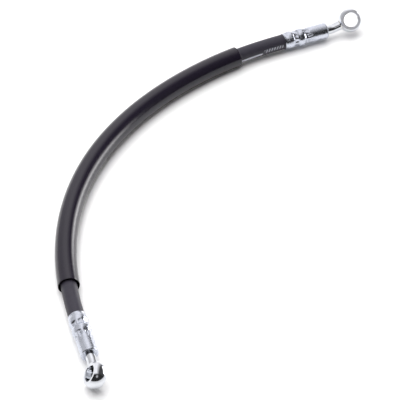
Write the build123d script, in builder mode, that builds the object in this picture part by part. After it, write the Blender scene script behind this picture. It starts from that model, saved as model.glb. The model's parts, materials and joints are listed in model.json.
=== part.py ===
"""Hydraulic brake hose assembly with a banjo eye at each end and a loose protective sleeve.

A reinforced rubber hose lies in a gentle curve. Its two ends are crimped into steel ferrules, each
with a barbed nipple inside, a bent neck tube and a banjo eye brazed to the neck. A thin tubular
sleeve slides along the hose between the two ferrules.

Frame: millimetres, +Z up, the surface it lies on is Z = 0, the origin is at the middle of the
assembly's box. The near end is the one towards -Y, the far end is the one towards +Y.
"""
from build123d import *
import math
import os

# ---------------------------------------------------------------- driving dimensions
hose_bore_radius = 1.6
# outer radius of each layer of the hose, from the inside out
hose_layers = {
    "hose_liner": 2.5,
    "inner_braid": 3.0,
    "cushion_layer": 3.4,
    "outer_braid": 3.9,
    "hose_cover": 5.25,
}

sleeve_outer_radius = 7.0
sleeve_bore_radius = 6.5
sleeve_lip_round = 0.3
axis_height = sleeve_outer_radius

# centreline of the hose from its end in the near ferrule to its end in the far ferrule
route = [
    (-79.10, -142.77),
    (-94.67, -89.16),
    (-97.33, -33.15),
    (-85.71, 18.80),
    (-61.32, 64.32),
    (-25.16, 104.18),
    (20.97, 136.76),
    (73.07, 157.81),
]
arc_share = 0.45
hose_in_ferrule = 27.5
sleeve_gap_near = 27.2
sleeve_gap_far = 36.3

ferrule_length = 32.8
ferrule_outer_radius = 5.6
ferrule_bore_radius = 4.95
ferrule_end_wall = 2.0
ferrule_bulge_radius = 6.0
ferrule_waist_radius = 5.55
ferrule_mouth_radius = 5.8
ferrule_mouth_round = 0.35
ferrule_shoulder = 0.8
crimp_rows = (8.8, 17.4)
crimp_fade = 4.0
crimp_dents = 8
crimp_depth = 0.45
crimp_cutter_radius = 5.0

nipple_radius = 1.6
nipple_bore_radius = 1.0
nipple_start = 2.5
nipple_nose = 0.3
barb_height = 0.25
barb_pitch = 3.4
barb_ramp = 2.8
barb_count = 6
collar_radius = 4.85

neck_radius = 3.3
neck_bore_radius = 1.6
neck_socket_depth = 1.6
neck_bend_at = 37.5
neck_bend_radius = 14.0

eye_bore_radius = 5.05
eye_face_radius = 6.95
eye_mid_radius = 8.4
eye_half_thickness = 4.35
eye_chamfer = 0.35
eye_socket_floor = 6.6
oil_hole_radius = 1.6
braze_size = 0.97
braze_foot = 7.0

# how each end is set: the neck's bend, the length from the bend to the eye's centre, which way
# the neck bends (0 is level, 90 is straight up) and how far the eye is turned about the neck
end_settings = {
    "near": {"bend": 9.7, "bend_to_eye": 14.2, "bend_roll": 55.0, "eye_turn": 21.3},
    "far": {"bend": 14.4, "bend_to_eye": 14.1, "bend_roll": 90.0, "eye_turn": 46.0},
}


# ---------------------------------------------------------------- the hose and its sleeve
def route_radii(points):
    """Bend radius at each inner point: the largest that its two runs allow."""
    radii = []
    for before, here, after in zip(points, points[1:], points[2:]):
        run_in = Vector(*here) - Vector(*before)
        run_out = Vector(*after) - Vector(*here)
        half_turn = math.radians(run_in.get_angle(run_out)) / 2
        shorter_run = min(run_in.length, run_out.length)
        radii.append(arc_share * shorter_run / math.tan(half_turn))
    return radii


def plane_on_route(distance, toward_far=True):
    """Plane square to the hose at a distance along it, Z along the hose."""
    fraction = distance / hose_length
    heading = hose_wire.tangent_at(fraction)
    if not toward_far:
        heading = heading * -1
    across = heading.cross(Vector(0, 0, 1))
    return Plane(origin=hose_wire.position_at(fraction), x_dir=across, z_dir=heading)


def export_piece(piece, name):
    """Label one finished piece and write its file."""
    piece.label = name
    export_step(piece, f"parts/{name}.step")


os.makedirs("parts", exist_ok=True)

route_points = [(x, y, axis_height) for x, y in route]
bend_radii = route_radii(route_points)
with BuildLine() as hose_line:
    FilletPolyline(*route_points, radius=bend_radii)
hose_wire = hose_line.wire()
hose_length = hose_wire.length
print("hose bend radii, mm:", [round(radius, 1) for radius in bend_radii])
print("hose length, mm:", round(hose_length, 1))

near_mouth = plane_on_route(hose_in_ferrule, toward_far=False)
far_mouth = plane_on_route(hose_length - hose_in_ferrule)

layer_inside = hose_bore_radius
for layer_name, layer_outside in hose_layers.items():
    with BuildPart() as hose_layer:
        with BuildSketch(plane_on_route(0)):
            Circle(layer_outside)
            Circle(layer_inside, mode=Mode.SUBTRACT)
        sweep(path=hose_wire)
        if layer_outside > ferrule_bore_radius:
            for mouth_plane in (near_mouth, far_mouth):
                with BuildSketch(mouth_plane):
                    Circle(layer_outside + 1)
                    Circle(ferrule_bore_radius, mode=Mode.SUBTRACT)
                extrude(amount=ferrule_length, mode=Mode.SUBTRACT)
    export_piece(hose_layer.part, layer_name)
    layer_section = math.pi * (layer_outside**2 - layer_inside**2)
    fullness = hose_layer.part.volume / (layer_section * hose_length)
    print(layer_name, "volume over section times length:", round(fullness, 4))
    layer_inside = layer_outside

sleeve_start = hose_in_ferrule + sleeve_gap_near
sleeve_end = hose_length - hose_in_ferrule - sleeve_gap_far
with BuildPart() as protective_sleeve:
    with BuildSketch(plane_on_route(0)):
        Circle(sleeve_outer_radius)
        Circle(sleeve_bore_radius, mode=Mode.SUBTRACT)
    sweep(path=hose_wire)
    split(bisect_by=plane_on_route(sleeve_start), keep=Keep.TOP)
    split(bisect_by=plane_on_route(sleeve_end, toward_far=False), keep=Keep.TOP)
    end_faces = protective_sleeve.faces().filter_by(GeomType.PLANE)
    outer_rims = end_faces.edges().sort_by(SortBy.LENGTH)[-2:]
    fillet(outer_rims, sleeve_lip_round)
export_piece(protective_sleeve.part, "protective_sleeve")
print("sleeve length, mm:", round(sleeve_end - sleeve_start, 1))


# ---------------------------------------------------------------- the end fittings
# A fitting's frame: origin at the middle of the ferrule's mouth, Z towards the eye, X the way
# the neck bends.
collar_end = ferrule_length - ferrule_end_wall
socket_bottom = collar_end - neck_socket_depth

# The ferrule: a crimped shell with soft bulges beside two rows of crimp dents.
first_row, second_row = crimp_rows
barrel_start = second_row + crimp_fade
with BuildPart() as ferrule:
    with BuildSketch(Plane.XZ):
        with BuildLine():
            Polyline(
                (ferrule_bore_radius, 0),
                (ferrule_mouth_radius - ferrule_mouth_round, 0),
                (ferrule_mouth_radius, ferrule_mouth_round),
            )
            Spline(
                (ferrule_mouth_radius, ferrule_mouth_round),
                (ferrule_bulge_radius, first_row / 2),
                (ferrule_waist_radius, first_row),
                (ferrule_bulge_radius, (first_row + second_row) / 2),
                (ferrule_waist_radius, second_row),
                (ferrule_outer_radius, barrel_start),
            )
            Polyline(
                (ferrule_outer_radius, barrel_start),
                (ferrule_outer_radius, ferrule_length - ferrule_shoulder),
                (ferrule_outer_radius - ferrule_shoulder, ferrule_length),
                (neck_radius, ferrule_length),
                (neck_radius, collar_end),
                (ferrule_bore_radius, collar_end),
                (ferrule_bore_radius, 0),
            )
        make_face()
    revolve(axis=Axis.Z)
    cutter_reach = ferrule_outer_radius - crimp_depth + crimp_cutter_radius
    for row_height, row_turn in zip(crimp_rows, (0, 0.5)):
        for dent in range(crimp_dents):
            dent_angle = math.radians(360 / crimp_dents * (dent + row_turn))
            outward = Vector(math.cos(dent_angle), math.sin(dent_angle), 0)
            cutter_centre = outward * cutter_reach + Vector(0, 0, row_height)
            sideways = Vector(0, 0, 1).cross(outward)
            with BuildSketch(Plane(origin=cutter_centre, x_dir=outward, z_dir=sideways)):
                Circle(crimp_cutter_radius)
            extrude(amount=ferrule_outer_radius / 2, both=True, mode=Mode.SUBTRACT)

# The nipple: a barbed stem in the liner, with the collar that the ferrule's end wall holds.
nipple_outline = [(nipple_bore_radius, nipple_start), (nipple_radius - nipple_nose, nipple_start)]
for barb in range(barb_count):
    barb_foot = nipple_start + nipple_nose + barb_pitch * barb
    nipple_outline.append((nipple_radius, barb_foot))
    nipple_outline.append((nipple_radius + barb_height, barb_foot + barb_ramp))
nipple_outline += [
    (nipple_radius, nipple_start + nipple_nose + barb_pitch * barb_count),
    (nipple_radius, hose_in_ferrule),
    (collar_radius, hose_in_ferrule),
    (collar_radius, collar_end),
    (neck_radius, collar_end),
    (neck_radius, socket_bottom),
    (nipple_bore_radius, socket_bottom),
]
with BuildPart() as nipple:
    with BuildSketch(Plane.XZ):
        with BuildLine():
            Polyline(*nipple_outline, close=True)
        make_face()
    revolve(axis=Axis.Z)


def eye_frame_in_fitting(neck_bend, bend_to_eye, eye_turn):
    """The eye's frame in the fitting's frame: Z along the bore, X back along the neck."""
    bend = math.radians(neck_bend)
    turn = math.radians(eye_turn)
    neck_heading = Vector(math.sin(bend), 0, math.cos(bend))
    bore_in_bend = Vector(math.cos(bend), 0, -math.sin(bend))
    bore_heading = bore_in_bend * math.cos(turn) + Vector(0, 1, 0) * math.sin(turn)
    centre = Vector(0, 0, neck_bend_at) + neck_heading * bend_to_eye
    return Plane(origin=centre, x_dir=neck_heading * -1, z_dir=bore_heading)


def fitting_frame(mouth_plane, bend_roll):
    """A ferrule's mouth plane turned so that its X is the way the neck bends."""
    level = mouth_plane.z_dir.cross(Vector(0, 0, 1))
    roll = math.radians(bend_roll)
    lean = level * math.cos(roll) + Vector(0, 0, 1) * math.sin(roll)
    return Plane(origin=mouth_plane.origin, x_dir=lean, z_dir=mouth_plane.z_dir)


for end_name, mouth_plane in (("near", near_mouth), ("far", far_mouth)):
    settings = end_settings[end_name]
    end_frame = fitting_frame(mouth_plane, settings["bend_roll"])
    eye_frame = eye_frame_in_fitting(settings["bend"], settings["bend_to_eye"], settings["eye_turn"])
    eye_profile_plane = Plane(origin=eye_frame.origin, x_dir=eye_frame.x_dir, z_dir=eye_frame.y_dir * -1)
    bore_axis = Axis(eye_frame.origin, eye_frame.z_dir)
    neck_end = eye_frame.from_local_coords((eye_socket_floor, 0, 0))

    # The neck: a bent steel tube from the nipple's collar into the eye's socket.
    with BuildPart() as neck_tube:
        with BuildLine() as neck_line:
            FilletPolyline((0, 0, socket_bottom), (0, 0, neck_bend_at), neck_end, radius=neck_bend_radius)
        with BuildSketch(Plane.XY.offset(socket_bottom)):
            Circle(neck_radius)
            Circle(neck_bore_radius, mode=Mode.SUBTRACT)
        sweep(path=neck_line.wire())

    # The banjo eye: a barrel-shaped ring with two flat sealing faces, a socket and an oil hole.
    with BuildPart() as banjo_eye:
        with BuildSketch(eye_profile_plane):
            with BuildLine():
                ThreePointArc(
                    (eye_face_radius, -eye_half_thickness),
                    (eye_mid_radius, 0),
                    (eye_face_radius, eye_half_thickness),
                )
                Polyline(
                    (eye_face_radius, eye_half_thickness),
                    (eye_bore_radius + eye_chamfer, eye_half_thickness),
                    (eye_bore_radius, eye_half_thickness - eye_chamfer),
                    (eye_bore_radius, eye_chamfer - eye_half_thickness),
                    (eye_bore_radius + eye_chamfer, -eye_half_thickness),
                    (eye_face_radius, -eye_half_thickness),
                )
            make_face()
        revolve(axis=bore_axis)
        with BuildSketch(Plane(origin=neck_end, z_dir=eye_frame.x_dir)):
            Circle(neck_radius)
        extrude(amount=eye_mid_radius, mode=Mode.SUBTRACT)
        with BuildSketch(Plane(origin=eye_frame.origin, z_dir=eye_frame.x_dir)):
            Circle(oil_hole_radius)
        extrude(amount=eye_mid_radius, mode=Mode.SUBTRACT)

    # The braze ring: a concave bead in the corner between the neck and the eye.
    bead_plane = Plane(origin=eye_frame.origin, x_dir=eye_frame.z_dir, z_dir=eye_frame.y_dir)
    bead_outside = neck_radius + braze_size
    bead_top = eye_mid_radius + braze_size
    with BuildPart() as braze_ring:
        with BuildSketch(bead_plane):
            with BuildLine():
                Polyline(
                    (bead_outside, braze_foot),
                    (bead_outside, eye_socket_floor),
                    (neck_radius, eye_socket_floor),
                    (neck_radius, bead_top),
                )
                RadiusArc((neck_radius, bead_top), (bead_outside, braze_foot), -braze_size * 2)
            make_face()
        revolve(axis=Axis(eye_frame.origin, eye_frame.x_dir))
        add(banjo_eye.part, mode=Mode.SUBTRACT)

    fitting_pieces = {
        "ferrule": ferrule,
        "nipple": nipple,
        "neck_tube": neck_tube,
        "banjo_eye": banjo_eye,
        "braze_ring": braze_ring,
    }
    for piece_name, piece in fitting_pieces.items():
        with BuildPart(end_frame) as placed_piece:
            add(piece.part)
        export_piece(placed_piece.part, f"{end_name}_{piece_name}")
    eye_at = end_frame.from_local_coords(eye_frame.origin)
    bore_end = end_frame.from_local_coords(eye_frame.origin + eye_frame.z_dir)
    print(end_name, "eye centre, mm:", eye_at, "bore axis:", bore_end - eye_at)
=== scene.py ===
"""Brake hose assembly lying on a white table, in metres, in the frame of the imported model."""

import json
import math

import bpy
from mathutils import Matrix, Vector


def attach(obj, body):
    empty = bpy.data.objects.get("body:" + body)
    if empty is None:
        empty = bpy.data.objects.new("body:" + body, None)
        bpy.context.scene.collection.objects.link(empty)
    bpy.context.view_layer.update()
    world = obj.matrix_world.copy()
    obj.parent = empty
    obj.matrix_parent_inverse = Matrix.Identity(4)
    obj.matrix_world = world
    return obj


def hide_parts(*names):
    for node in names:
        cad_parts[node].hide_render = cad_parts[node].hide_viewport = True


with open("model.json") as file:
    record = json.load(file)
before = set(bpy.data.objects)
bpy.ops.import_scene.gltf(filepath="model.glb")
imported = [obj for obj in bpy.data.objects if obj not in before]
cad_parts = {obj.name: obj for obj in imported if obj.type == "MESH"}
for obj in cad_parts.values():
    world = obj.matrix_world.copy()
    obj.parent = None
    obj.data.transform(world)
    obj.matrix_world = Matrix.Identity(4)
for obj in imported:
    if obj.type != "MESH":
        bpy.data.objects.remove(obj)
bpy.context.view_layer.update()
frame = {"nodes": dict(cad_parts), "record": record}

scene = bpy.context.scene
slot_of = {row["node"]: row["material_slot"] for row in frame["record"]["subparts"]}

HOSE_RADIUS = 0.00525
SLEEVE_RADIUS = 0.0070
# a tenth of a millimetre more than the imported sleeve's, so that it clears this hose as it slides
SLEEVE_BORE_RADIUS = 0.0066
# height of the hose's axis over the table
AXIS_HEIGHT = 0.0070
# from the end of the hose, inside a ferrule, to the ferrule's mouth
MOUTH_IN = 0.0275
# from a ferrule's mouth to the sleeve, along the hose
SLEEVE_GAP_NEAR = 0.0272
SLEEVE_GAP_FAR = 0.0363

# the hose's route, from its end in the near ferrule to its end in the far ferrule
ROUTE = [Vector((x, y, AXIS_HEIGHT)) for x, y in (
    (-0.07910, -0.14277),
    (-0.09467, -0.08916),
    (-0.09733, -0.03315),
    (-0.08571, 0.01880),
    (-0.06132, 0.06432),
    (-0.02516, 0.10418),
    (0.02097, 0.13676),
    (0.07307, 0.15781),
)]


# ---------------------------------------------------------------- camera
LOOK_AT = Vector((-0.01069, -0.00496, 0.0))
CAMERA_DISTANCE = 1.5
CAMERA_ELEVATION = math.radians(44.0)
FIELD_WIDTH = 0.262
SENSOR_WIDTH = 36.0

camera_data = bpy.data.cameras.new("camera")
camera = bpy.data.objects.new("camera", camera_data)
scene.collection.objects.link(camera)
camera_data.sensor_width = SENSOR_WIDTH
camera_data.lens = SENSOR_WIDTH * CAMERA_DISTANCE / FIELD_WIDTH
camera_data.clip_start = 0.05
camera_data.clip_end = 20.0
towards_camera = Vector((0, -math.cos(CAMERA_ELEVATION), math.sin(CAMERA_ELEVATION)))
camera.location = LOOK_AT + towards_camera * CAMERA_DISTANCE
camera.rotation_euler = (math.pi / 2 - CAMERA_ELEVATION, 0, 0)
scene.camera = camera


# ---------------------------------------------------------------- the hose's line
def nurbs_line(name, points):
    """A smooth curve object with the points as its control points."""
    data = bpy.data.curves.new(name, "CURVE")
    data.dimensions = "3D"
    data.resolution_u = 24
    spline = data.splines.new("NURBS")
    spline.points.add(len(points) - 1)
    for control, point in zip(spline.points, points):
        control.co = (*point, 1.0)
    spline.order_u = 3
    spline.use_endpoint_u = True
    line = bpy.data.objects.new(name, data)
    scene.collection.objects.link(line)
    return line


def read_line(line):
    """The curve's own points, in order."""
    mesh = bpy.data.meshes.new_from_object(line)
    points = [vertex.co.copy() for vertex in mesh.vertices]
    bpy.data.meshes.remove(mesh)
    return points


class Line:
    """Points along a line, with places and headings looked up by distance."""

    def __init__(self, points):
        self.points = points
        self.marks = [0.0]
        for a, b in zip(points, points[1:]):
            self.marks.append(self.marks[-1] + (b - a).length)
        self.length = self.marks[-1]

    def place(self, distance):
        """Point at a distance along the line, carried on straight past its ends."""
        step = 0
        while step < len(self.points) - 2 and self.marks[step + 1] < distance:
            step += 1
        a, b = self.points[step], self.points[step + 1]
        span = self.marks[step + 1] - self.marks[step]
        return a + (b - a) * ((distance - self.marks[step]) / span)

    def heading(self, distance):
        """Unit heading at a distance, smoothed over a few millimetres."""
        reach = 0.002
        return (self.place(distance + reach) - self.place(distance - reach)).normalized()

    def axes(self, distance):
        """Level direction to the right of the line, and the direction up that is square to both."""
        forward = self.heading(distance)
        right = forward.cross(Vector((0, 0, 1))).normalized()
        return right, right.cross(forward)


near_in = (ROUTE[1] - ROUTE[0]).normalized()
far_in = (ROUTE[-1] - ROUTE[-2]).normalized()
near_mouth = ROUTE[0] + near_in * MOUTH_IN
far_mouth = ROUTE[-1] - far_in * MOUTH_IN
# how far the visible hose goes on past each mouth, inside the ferrule
HIDDEN = 0.004
control_points = [near_mouth - near_in * HIDDEN, *ROUTE[1:-1], far_mouth + far_in * HIDDEN]
hose_line = nurbs_line("hose_line", control_points)
line = Line(read_line(hose_line))
bpy.data.objects.remove(hose_line)


# ---------------------------------------------------------------- mesh helpers
SHARP_EDGE = math.radians(38.0)


def new_piece(name, vertices, faces, material, uvs=None):
    """A smooth shaded mesh object with its material and, where given, a UV for each corner."""
    mesh = bpy.data.meshes.new(name)
    mesh.from_pydata(vertices, [], faces)
    if uvs:
        layer = mesh.uv_layers.new(name="along_and_round")
        for polygon in mesh.polygons:
            for loop, uv in zip(polygon.loop_indices, uvs[polygon.index]):
                layer.data[loop].uv = uv
    mesh.shade_smooth()
    mesh.set_sharp_from_angle(angle=SHARP_EDGE)
    mesh.materials.append(material)
    piece = bpy.data.objects.new(name, mesh)
    scene.collection.objects.link(piece)
    return piece


def tube(name, stations, material, around=64, closed=False):
    """A surface of rings along the line: stations are (distance, radius), joined end to end.

    A UV holds the distance along the line and the way round the ring, both in metres."""
    vertices, faces, uvs = [], [], []
    for distance, radius in stations:
        centre = line.place(distance)
        right, up = line.axes(distance)
        for k in range(around):
            turn = 2 * math.pi * k / around
            vertices.append(centre + right * (radius * math.sin(turn)) + up * (radius * math.cos(turn)))
    rings = len(stations)
    spans = rings if closed else rings - 1
    for i in range(spans):
        j = (i + 1) % rings
        here, there = stations[i][0], stations[j][0]
        radius = stations[i][1]
        for k in range(around):
            m = (k + 1) % around
            faces.append((i * around + k, i * around + m, j * around + m, j * around + k))
            low, high = 2 * math.pi * radius * k / around, 2 * math.pi * radius * (k + 1) / around
            uvs.append(((here, low), (here, high), (there, high), (there, low)))
    return new_piece(name, vertices, faces, material, uvs)


# ---------------------------------------------------------------- material helpers
class Nodes:
    """A short way to write a node material."""

    def __init__(self, name):
        self.material = bpy.data.materials.new(name)
        self.material.use_nodes = True
        self.tree = self.material.node_tree
        self.shader = self.tree.nodes["Principled BSDF"]

    def add(self, kind, inputs=None, **settings):
        """A node with its settings, and its inputs as values or sockets to link from."""
        node = self.tree.nodes.new(kind)
        for key, value in settings.items():
            setattr(node, key, value)
        for key, value in (inputs or {}).items():
            self.put(node.inputs[key], value)
        return node

    def put(self, socket, value):
        """Links a socket, or sets a value."""
        if isinstance(value, bpy.types.NodeSocket):
            self.tree.links.new(value, socket)
        else:
            socket.default_value = value

    def set(self, **values):
        """Sets the shader's sockets: spaces in a name are written as _."""
        for key, value in values.items():
            self.put(self.shader.inputs[key.replace("_", " ")], value)

    def along_and_round(self):
        """Distance along a tube and the way round it, in metres, from its UV."""
        uv = self.add("ShaderNodeTexCoord").outputs["UV"]
        along, round_, _ = self.add("ShaderNodeSeparateXYZ", {0: uv}).outputs
        return along, round_

    def noise(self, scale, detail=2.0, vector=None):
        """Noise on object coordinates, in cycles per metre, 0 to 1."""
        vector = vector or self.add("ShaderNodeTexCoord").outputs["Object"]
        inputs = {"Vector": vector, "Scale": scale, "Detail": detail}
        return self.add("ShaderNodeTexNoise", inputs).outputs["Fac"]

    def spread(self, value, low, high, from_low=0.3, from_high=0.7):
        """A value mapped from one range to another."""
        inputs = {0: value, 1: from_low, 2: from_high, 3: low, 4: high}
        return self.add("ShaderNodeMapRange", inputs).outputs[0]

    def mix(self, factor, a, b):
        """A colour between two."""
        node = self.add("ShaderNodeMix", {0: factor}, data_type="RGBA")
        for socket, value in zip([s for s in node.inputs if s.type == "RGBA"], (a, b)):
            self.put(socket, value)
        return [s for s in node.outputs if s.type == "RGBA"][0]

    def math(self, operation, a, b=0.0, c=0.0):
        """A sum on values or sockets."""
        return self.add("ShaderNodeMath", {0: a, 1: b, 2: c}, operation=operation).outputs[0]

    def bump(self, height, distance):
        """A bump from a height of 0 to 1, distance being its real depth."""
        inputs = {"Height": height, "Distance": distance, "Strength": 1.0}
        self.put(self.shader.inputs["Normal"], self.add("ShaderNodeBump", inputs).outputs["Normal"])


def grey(value):
    """A colour of an even grey."""
    return (value, value, value, 1.0)


# ---------------------------------------------------------------- materials
# marks printed on the hose: lengths in metres, distances from its far end, TURN as part of a whole turn
STRIPE_START = 0.0405
STRIPE_END = 0.0225
STRIPE_TURN = 0.285
STRIPE_HALF_WIDTH = 0.00095
ROW_START = 0.0209
ROW_END = 0.0061
ROW_TURN = 0.235
ROW_HALF_WIDTH = 0.0012
DASH_PITCH = 0.0021
DASH_HALF_WIDTH = 0.00052
DASH_SLANT = 0.35
DASH_LEVEL = 0.7


def hose_rubber():
    """Matt black rubber with a faint cloth print, an inked stripe and a row of plain dashes."""
    m = Nodes("hose_rubber")
    along, round_ = m.along_and_round()
    threads = 6500.0

    def stretch(start, end, fade):
        """1 between two distances from the far end, fading at each."""
        begun = m.spread(along, 0.0, 1.0, line.length - start - fade, line.length - start + fade)
        not_over = m.spread(along, 1.0, 0.0, line.length - end - fade, line.length - end + fade)
        return m.math("MULTIPLY", begun, not_over)

    def lane(turn, half_width, fade):
        """1 near one line along the hose, fading at the lane's edges."""
        off = m.math("ABSOLUTE", m.math("SUBTRACT", round_, 2 * math.pi * HOSE_RADIUS * turn))
        return m.spread(off, 1.0, 0.0, half_width - fade, half_width + fade)

    rising = m.math("SINE", m.math("MULTIPLY", m.math("ADD", along, round_), threads))
    falling = m.math("SINE", m.math("MULTIPLY", m.math("SUBTRACT", along, round_), threads))
    weave = m.math("MULTIPLY_ADD", m.math("MULTIPLY", rising, falling), 0.5, 0.5)
    blotch = m.noise(260.0, 4.0)
    fine = m.noise(2600.0, 3.0)
    dust = m.spread(fine, 0.0, 1.0, 0.45, 0.75)
    worn = m.spread(fine, 0.35, 1.0, 0.30, 0.50)

    stripe_lane = lane(STRIPE_TURN, STRIPE_HALF_WIDTH, 0.00015)
    stripe = m.math("MULTIPLY", stretch(STRIPE_START, STRIPE_END, 0.0004), stripe_lane)
    row = m.math("MULTIPLY", stretch(ROW_START, ROW_END, 0.0001), lane(ROW_TURN, ROW_HALF_WIDTH, 0.0001))
    slanted = m.math("ADD", along, m.math("MULTIPLY", round_, DASH_SLANT))
    off_dash = m.math("SUBTRACT", m.math("MODULO", slanted, DASH_PITCH), DASH_PITCH / 2)
    dash_fade = 0.0001
    near_dash, past_dash = DASH_HALF_WIDTH - dash_fade, DASH_HALF_WIDTH + dash_fade
    dashes = m.spread(m.math("ABSOLUTE", off_dash), 1.0, 0.0, near_dash, past_dash)
    dashes = m.math("MULTIPLY", m.math("MULTIPLY", row, dashes), DASH_LEVEL)
    ink = m.math("MULTIPLY", m.math("MAXIMUM", stripe, dashes), worn)

    rubber = m.mix(blotch, (0.018, 0.016, 0.026, 1.0), (0.030, 0.027, 0.040, 1.0))
    rubber = m.mix(m.math("MULTIPLY", dust, 0.25), rubber, (0.075, 0.072, 0.088, 1.0))
    m.set(Base_Color=m.mix(ink, rubber, (0.60, 0.62, 0.70, 1.0)))
    m.set(Roughness=m.spread(fine, 0.42, 0.56), Specular_IOR_Level=0.45)
    m.bump(m.math("ADD", m.math("MULTIPLY", weave, 0.6), m.math("MULTIPLY", fine, 0.8)), 0.00006)
    return m.material


def sleeve_plastic():
    """Semi-gloss black extruded tube, with faint die lines along it."""
    m = Nodes("sleeve_plastic")
    along, round_ = m.along_and_round()
    stretched = m.add("ShaderNodeCombineXYZ", {0: m.math("MULTIPLY", along, 0.05), 1: round_}).outputs[0]
    die_lines = m.noise(1500.0, 3.0, stretched)
    cloud = m.noise(60.0, 3.0)
    m.set(Base_Color=m.mix(cloud, (0.008, 0.006, 0.013, 1.0), (0.012, 0.009, 0.018, 1.0)))
    m.set(Roughness=m.spread(m.noise(400.0, 4.0), 0.16, 0.24), Specular_IOR_Level=0.5)
    m.bump(die_lines, 0.00002)
    return m.material


def plated(name, base, rough_low, rough_high, scratches, depth):
    """Plated or polished steel, with fine turning or handling marks."""
    m = Nodes(name)
    fine = m.noise(scratches, 4.0)
    cloud = m.noise(220.0, 3.0)
    tint = [channel * 0.88 for channel in base[:3]]
    m.set(Base_Color=m.mix(m.spread(cloud, 0.0, 1.0), (*tint, 1.0), base), Metallic=1.0)
    m.set(Roughness=m.spread(fine, rough_low, rough_high))
    m.bump(m.math("ADD", fine, cloud), depth)
    return m.material


def braid_cord():
    """Off-white cord woven round the liner."""
    m = Nodes("braid_cord")
    strand = m.add("ShaderNodeTexWave", {"Scale": 900.0, "Distortion": 1.0}, bands_direction="DIAGONAL")
    m.set(Base_Color=m.mix(strand.outputs["Fac"], (0.62, 0.58, 0.50, 1), (0.80, 0.77, 0.70, 1)))
    m.set(Roughness=m.spread(m.noise(900.0), 0.75, 0.9))
    m.bump(strand.outputs["Fac"], 0.0002)
    return m.material


def liner_rubber():
    """Smooth black rubber of the liner."""
    m = Nodes("liner_rubber")
    m.set(Base_Color=m.mix(m.noise(300.0), grey(0.02), grey(0.03)))
    m.set(Roughness=m.spread(m.noise(700.0), 0.45, 0.6))
    m.bump(m.noise(1500.0), 0.00005)
    return m.material


finish = {
    "cover_rubber": hose_rubber(),
    "sleeve_plastic": sleeve_plastic(),
    "liner_rubber": liner_rubber(),
    "braid_cord": braid_cord(),
    "zinc_steel": plated("zinc_steel", (0.63, 0.66, 0.74, 1.0), 0.20, 0.30, 900.0, 0.00003),
    "nipple_steel": plated("nipple_steel", (0.60, 0.61, 0.64, 1.0), 0.22, 0.34, 1200.0, 0.00003),
    "bright_steel": plated("bright_steel", (0.74, 0.76, 0.80, 1.0), 0.06, 0.12, 700.0, 0.000008),
    "braze_metal": plated("braze_metal", (0.78, 0.77, 0.74, 1.0), 0.14, 0.26, 1500.0, 0.00004),
}
for name, node in frame["nodes"].items():
    node.data.materials.clear()
    node.data.materials.append(finish[slot_of[name]])


# ---------------------------------------------------------------- the hose
HOSE_STEPS = 300
hose_stations = [(line.length * k / HOSE_STEPS, HOSE_RADIUS) for k in range(HOSE_STEPS + 1)]
hose = tube("hose", hose_stations, finish["cover_rubber"])
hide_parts("hose_cover")
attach(hose, "hose_and_fittings")


# ---------------------------------------------------------------- the sleeve
def sleeve_stations():
    """Out along the outside, round the far lip, back along the bore and round the near lip."""
    first = HIDDEN + SLEEVE_GAP_NEAR
    last = line.length - HIDDEN - SLEEVE_GAP_FAR
    half_wall = (SLEEVE_RADIUS - SLEEVE_BORE_RADIUS) / 2
    middle = SLEEVE_BORE_RADIUS + half_wall
    count = 220
    outside, inside = [], []
    for k in range(count + 1):
        distance = first + half_wall + (last - first - 2 * half_wall) * k / count
        outside.append((distance, SLEEVE_RADIUS))
        inside.append((distance, SLEEVE_BORE_RADIUS))
    lip_steps = 6
    lips = []
    for centre, start in ((last - half_wall, math.pi / 2), (first + half_wall, -math.pi / 2)):
        lip = []
        for k in range(1, lip_steps):
            turn = start - math.pi * k / lip_steps
            lip.append((centre + half_wall * math.cos(turn), middle + half_wall * math.sin(turn)))
        lips.append(lip)
    return outside + lips[0] + inside[::-1] + lips[1]


sleeve = tube("sleeve", sleeve_stations(), finish["sleeve_plastic"], around=72, closed=True)
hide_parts("protective_sleeve")
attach(sleeve, "sleeve")


# ---------------------------------------------------------------- the crimped ferrules
# all in millimetres, with places measured from the ferrule's mouth
FERRULE_LENGTH = 32.8
FERRULE_BORE_RADIUS = 5.27
MOUTH_RADIUS = 5.75
MOUTH_ROUND = 0.25
END_ROUND = 0.7
END_HOLE_RADIUS = 3.28
BARREL_RADIUS = 5.62
BULGES = ((4.4, 2.4), (12.8, 2.2))
BULGE_HEIGHT = 0.50
CRIMP_SEGMENTS = 8
FIRST_CRIMPS = 8.6
SECOND_CRIMPS = 17.0
CRIMP_HALF_WIDTH = 1.7
CRIMP_DEPTH = 0.42
DENT_DEPTH = 0.24
FIRST_PETALS = 5.4
SECOND_PETALS = 12.6
PETAL_HEIGHT = 0.10
PETAL_HALF_LENGTH = 2.2
THUMB_LENGTH = 4.0
THUMB_DEPTH = 0.36
THUMB_EDGE = 0.22


def hump(along, middle, half_length, power):
    """A smooth rise to 1 at the middle, flatter on top the higher the power."""
    return math.exp(-((along - middle) / half_length) ** power)


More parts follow.
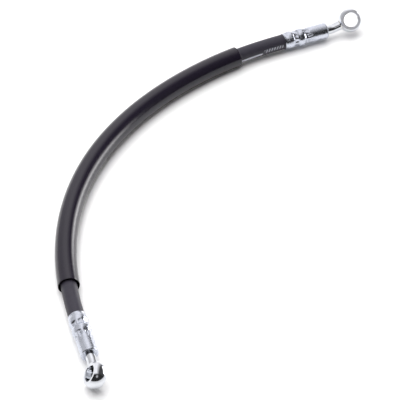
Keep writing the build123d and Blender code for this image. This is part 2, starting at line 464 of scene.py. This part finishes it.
def crimp_shape(along, turn):
    """Outer radius of a ferrule at a distance from its mouth and a turn."""
    first = math.cos(CRIMP_SEGMENTS * turn)
    second = math.cos(CRIMP_SEGMENTS * turn + math.pi)
    radius = BARREL_RADIUS
    for middle, half_length in BULGES:
        radius += BULGE_HEIGHT * hump(along, middle, half_length, 4)
    for middle, dents in ((FIRST_CRIMPS, first), (SECOND_CRIMPS, second)):
        radius -= hump(along, middle, CRIMP_HALF_WIDTH, 4) * (CRIMP_DEPTH + DENT_DEPTH * dents)
    petal = 0.5 + 0.5 * first
    radius += PETAL_HEIGHT * (1 - petal) * hump(along, FIRST_PETALS, PETAL_HALF_LENGTH, 2)
    radius += PETAL_HEIGHT * petal * hump(along, SECOND_PETALS, PETAL_HALF_LENGTH, 2)
    thumb = max(0.0, second) ** 0.5
    if along > SECOND_CRIMPS:
        reach = SECOND_CRIMPS + THUMB_LENGTH * thumb
        radius -= THUMB_DEPTH * thumb / (1 + math.exp((along - reach) / THUMB_EDGE))
    return radius


def crimped_ferrule(name, mouth, towards_eye, turn_by):
    """A ferrule's skin: in at the bore, round the mouth, along the crimps and over the end wall."""
    across = towards_eye.cross(Vector((0, 0, 1))).normalized()
    lift = across.cross(towards_eye)
    around, barrel_steps, mouth_steps, end_steps = 144, 110, 7, 5
    skin_start, lip_start, lip_centre, lip_fade = 1.6, 0.35, 5.52, 0.9

    rings = [[(along, FERRULE_BORE_RADIUS)] * around for along in (skin_start, lip_start)]
    for k in range(1, mouth_steps):
        roll = math.pi * k / mouth_steps
        along = MOUTH_ROUND - MOUTH_ROUND * math.sin(roll)
        rings.append([(along, lip_centre - MOUTH_ROUND * math.cos(roll))] * around)
    for k in range(barrel_steps + 1):
        along = lip_start + (FERRULE_LENGTH - lip_start - END_ROUND) * k / barrel_steps
        crimped = 1 - math.exp(-(along / lip_fade))
        ring = []
        for n in range(around):
            shape = crimp_shape(along, 2 * math.pi * n / around + turn_by)
            ring.append((along, MOUTH_RADIUS + (shape - MOUTH_RADIUS) * crimped))
        rings.append(ring)
    for k in range(1, end_steps + 1):
        roll = math.pi / 2 * k / end_steps
        along = FERRULE_LENGTH - END_ROUND + END_ROUND * math.sin(roll)
        rings.append([(along, BARREL_RADIUS - END_ROUND + END_ROUND * math.cos(roll))] * around)
    rings.append([(FERRULE_LENGTH, END_HOLE_RADIUS)] * around)

    vertices, faces = [], []
    for ring in rings:
        for n, (along, radius) in enumerate(ring):
            turn = 2 * math.pi * n / around
            spoke = across * math.sin(turn) + lift * math.cos(turn)
            vertices.append(mouth + towards_eye * (along / 1000) + spoke * (radius / 1000))
    for i in range(len(rings) - 1):
        for n in range(around):
            m = (n + 1) % around
            faces.append((i * around + n, (i + 1) * around + n, (i + 1) * around + m, i * around + m))
    return new_piece(name, vertices, faces, finish["zinc_steel"])


# each end's mouth, the way from it to the eye, and how far its crimps are turned, in radians
ends = (("near", near_mouth, -near_in, 0.0), ("far", far_mouth, far_in, 0.30))
for end_name, mouth, towards_eye, turn_by in ends:
    ferrule = crimped_ferrule(f"{end_name}_crimped_ferrule", mouth, towards_eye, turn_by)
    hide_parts(f"{end_name}_ferrule")
    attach(ferrule, "hose_and_fittings")


# ---------------------------------------------------------------- table and lights
def slab(name, size, place, facing, material):
    """A flat rectangle of the set, facing the way given."""
    half = [value / 2 for value in size]
    corners = [Vector((x * half[0], y * half[1], 0)) for x, y in ((-1, -1), (1, -1), (1, 1), (-1, 1))]
    turn = Vector(facing).to_track_quat("Z", "Y").to_matrix()
    piece = new_piece(name, [turn @ corner + Vector(place) for corner in corners], [(0, 1, 2, 3)], material)


def table_white():
    """Smooth white, nearly even."""
    m = Nodes("table_white")
    m.set(Base_Color=m.mix(m.noise(3.0), grey(0.93), grey(0.95)), Roughness=0.3)
    return m.material


TABLE_SIZE = (6.0, 6.0)
slab("table", TABLE_SIZE, (0, 0, 0), (0, 0, 1), table_white())


def area_light(name, size, place, aim, power):
    """A soft rectangular light."""
    data = bpy.data.lights.new(name, "AREA")
    data.shape = "RECTANGLE"
    data.size, data.size_y = size
    data.energy = power
    light = bpy.data.objects.new(name, data)
    light.location = place
    light.rotation_euler = (Vector(aim) - Vector(place)).to_track_quat("-Z", "Y").to_euler()
    scene.collection.objects.link(light)
    return light


# where the studio is bright: FACING is a direction, LEVEL a radiance, and each pair the range of a fade,
# in the cosine of the angle from FACING or in a part of the heading
BACKDROP_FACING = (0.0, 0.978, 0.208)
BACKDROP_LEVEL = 1.2
BACKDROP_FADE = (-0.35, -0.10)
BACKDROP_RIGHT = (0.10, 0.50)
BACKDROP_RIGHT_LEAST = 0.04
BACKDROP_LEFT = (-0.60, -0.15)
BACKDROP_LEFT_LEAST = 0.55
STRIP_LEVEL = 8.0
STRIP_ABOVE = (0.12, 0.42)
STRIP_RIGHT = (0.52, 0.72)
STRIP_BACK = (0.0, 0.2)
WINDOW_FACING = (0.22, -0.74, 0.64)
WINDOW_LEVEL = 0.5
WINDOW_FADE = (0.975, 0.992)
ROOM_LEVEL = 0.03
STUDIO_TINT = (1.0, 0.985, 0.995, 1.0)

LIGHT_SIZE = (1.6, 1.4)
LIGHT_PLACE = (-0.22, 0.26, 1.0)
LIGHT_POWER = 17.0


def studio_world():
    """A dark room with a pale backdrop behind and overhead, a low strip light and a window."""
    world = bpy.data.worlds.new("studio")
    world.use_nodes = True
    tree = world.node_tree

    def add(kind, inputs, **settings):
        """A node with its settings, and its inputs as values or sockets to link from."""
        node = tree.nodes.new(kind)
        for key, value in settings.items():
            setattr(node, key, value)
        for key, value in inputs.items():
            if isinstance(value, bpy.types.NodeSocket):
                tree.links.new(value, node.inputs[key])
            else:
                node.inputs[key].default_value = value
        return node

    def glow(towards, cosines, level):
        """Light from round one direction, fading between two cosines of the angle from it."""
        facing = Vector(towards).normalized()
        near = add("ShaderNodeVectorMath", {0: heading, 1: facing}, operation="DOT_PRODUCT")
        fade = {0: near.outputs["Value"], 1: cosines[0], 2: cosines[1], 3: 0.0, 4: level}
        return add("ShaderNodeMapRange", fade, interpolation_type="SMOOTHSTEP").outputs[0]

    def both(operation, a, b):
        """A sum or a product of two levels."""
        return add("ShaderNodeMath", {0: a, 1: b}, operation=operation).outputs[0]

    def ramp(value, stretch, first, last):
        """A level that runs from first to last while the value runs along the stretch."""
        inputs = {0: value, 1: stretch[0], 2: stretch[1], 3: first, 4: last}
        return add("ShaderNodeMapRange", inputs).outputs[0]

    heading = add("ShaderNodeTexCoord", {}).outputs["Generated"]
    right, back, above = add("ShaderNodeSeparateXYZ", {0: heading}).outputs
    backdrop = glow(BACKDROP_FACING, BACKDROP_FADE, BACKDROP_LEVEL)
    backdrop = both("MULTIPLY", backdrop, ramp(right, BACKDROP_RIGHT, 1.0, BACKDROP_RIGHT_LEAST))
    backdrop = both("MULTIPLY", backdrop, ramp(right, BACKDROP_LEFT, BACKDROP_LEFT_LEAST, 1.0))
    strip = both("MULTIPLY", ramp(above, STRIP_ABOVE, STRIP_LEVEL, 0.0), ramp(right, STRIP_RIGHT, 0.0, 1.0))
    strip = both("MULTIPLY", strip, ramp(back, STRIP_BACK, 0.0, 1.0))
    window = glow(WINDOW_FACING, WINDOW_FADE, WINDOW_LEVEL)
    level = both("ADD", both("ADD", backdrop, strip), both("ADD", window, ROOM_LEVEL))
    background = tree.nodes["Background"]
    background.inputs["Color"].default_value = STUDIO_TINT
    tree.links.new(level, background.inputs["Strength"])
    return world


scene.world = studio_world()
top_light = area_light("top_light", LIGHT_SIZE, LIGHT_PLACE, (0, 0, 0), LIGHT_POWER)
top_light.visible_glossy = False

scene.view_settings.view_transform = "Standard"
